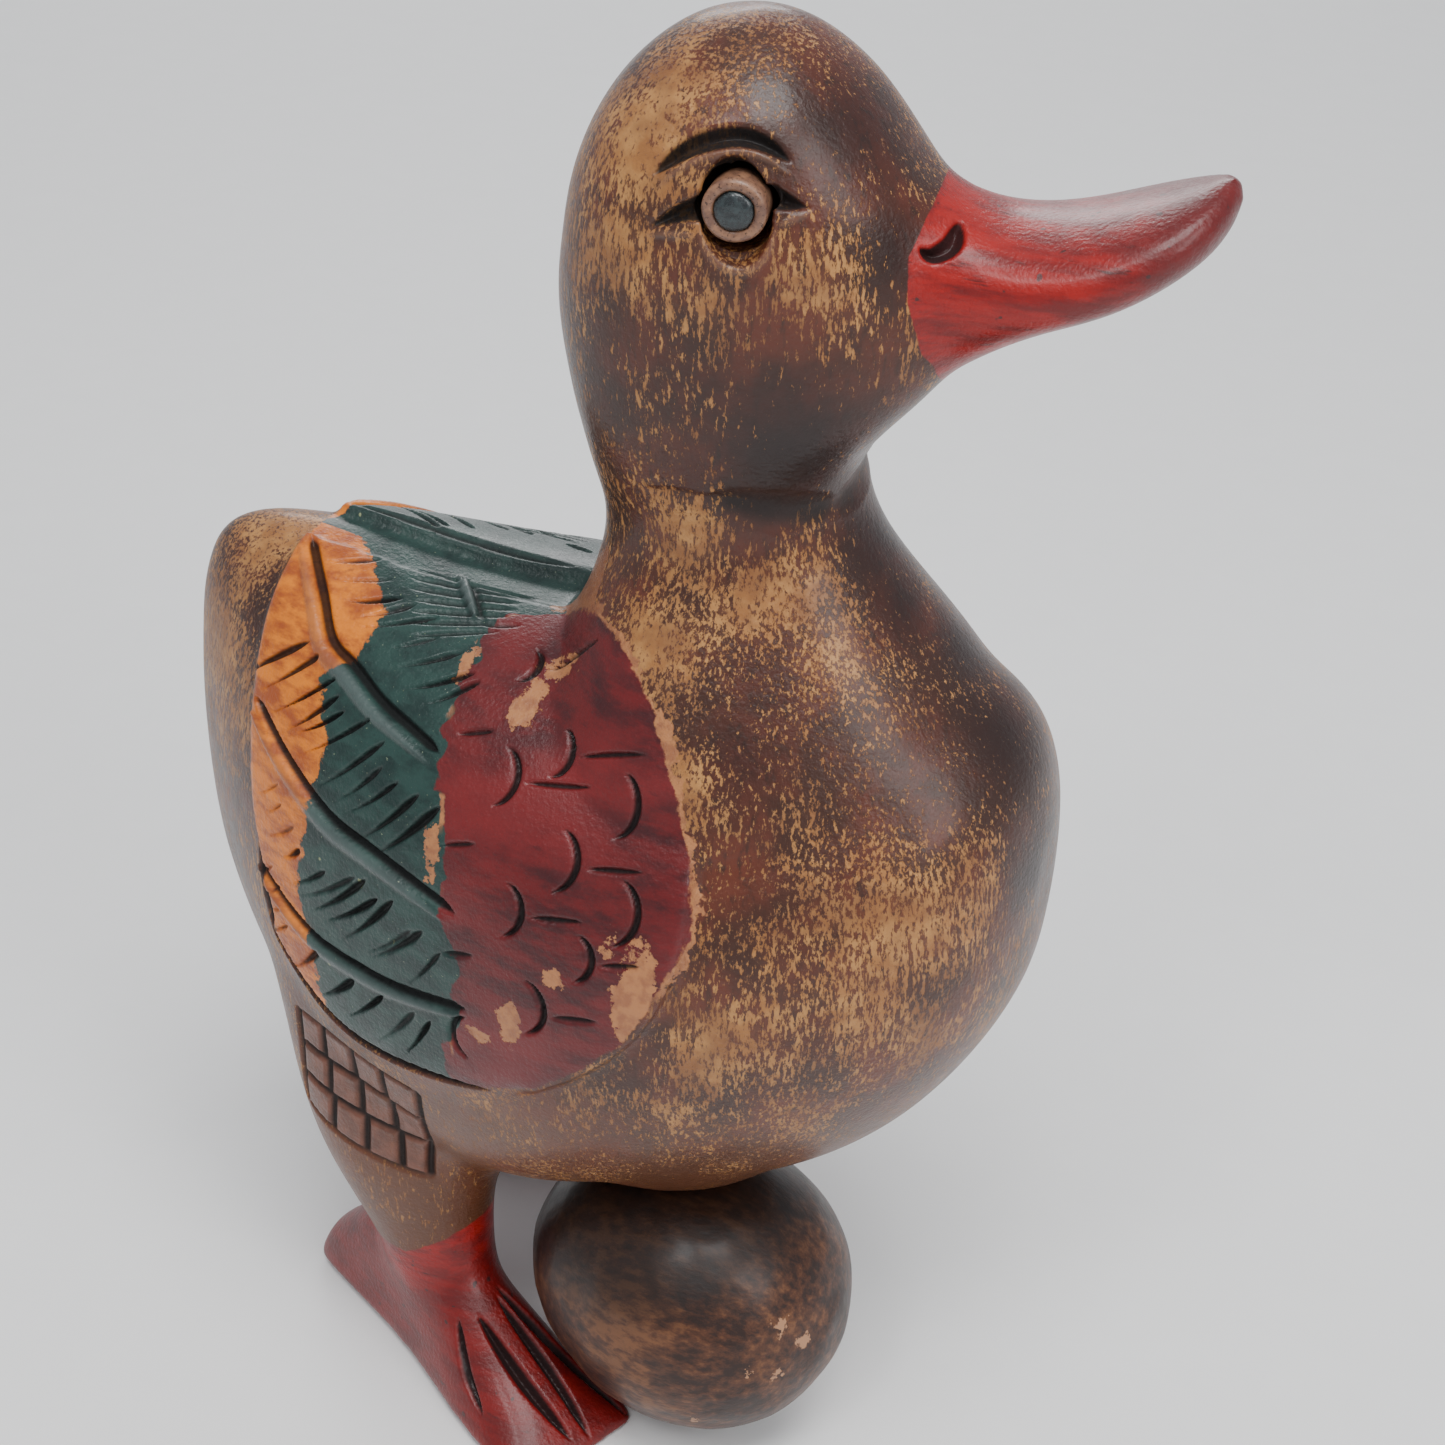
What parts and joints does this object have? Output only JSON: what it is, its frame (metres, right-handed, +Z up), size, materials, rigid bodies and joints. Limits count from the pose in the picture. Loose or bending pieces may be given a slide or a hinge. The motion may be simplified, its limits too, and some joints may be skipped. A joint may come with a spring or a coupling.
{
  "type": "carved wooden duck decoy",
  "caption": "Carved and painted wooden duck decoy that stands on flat feet over an egg, with folded wings in low relief and a turned, lifted head.",
  "frame": {"origin": "under the middle of the whole object's box, on the plane that the feet and the egg stand on", "axes": "+X is the way the duck's trunk faces, +Y is the duck's left, +Z is up"},
  "size_m": [0.1948, 0.1354, 0.2983],
  "materials": {
    "chocolate_paint": "brown paint rubbed through to ochre, semi-gloss varnish",
    "red_paint": "red paint with dark streaks, glossy varnish",
    "egg_paint": "brown and ochre paint, semi-gloss varnish",
    "bare_wood": "plain turned wood, unpainted",
    "eye_rim_paint": "ochre paint, semi-gloss varnish",
    "pupil_paint": "very dark teal paint, glossy varnish"
  },
  "bodies": {
    "root": {"body": "chocolate_paint", "head": "chocolate_paint", "neck_dowel": "bare_wood", "right_eye": "eye_rim_paint", "left_eye": "eye_rim_paint", "right_pupil": "pupil_paint", "left_pupil": "pupil_paint", "right_foot": "red_paint", "left_foot": "red_paint", "right_leg_dowel": "bare_wood", "left_leg_dowel": "bare_wood", "egg": "egg_paint", "egg_dowel": "bare_wood"}
  },
  "joints": []
}
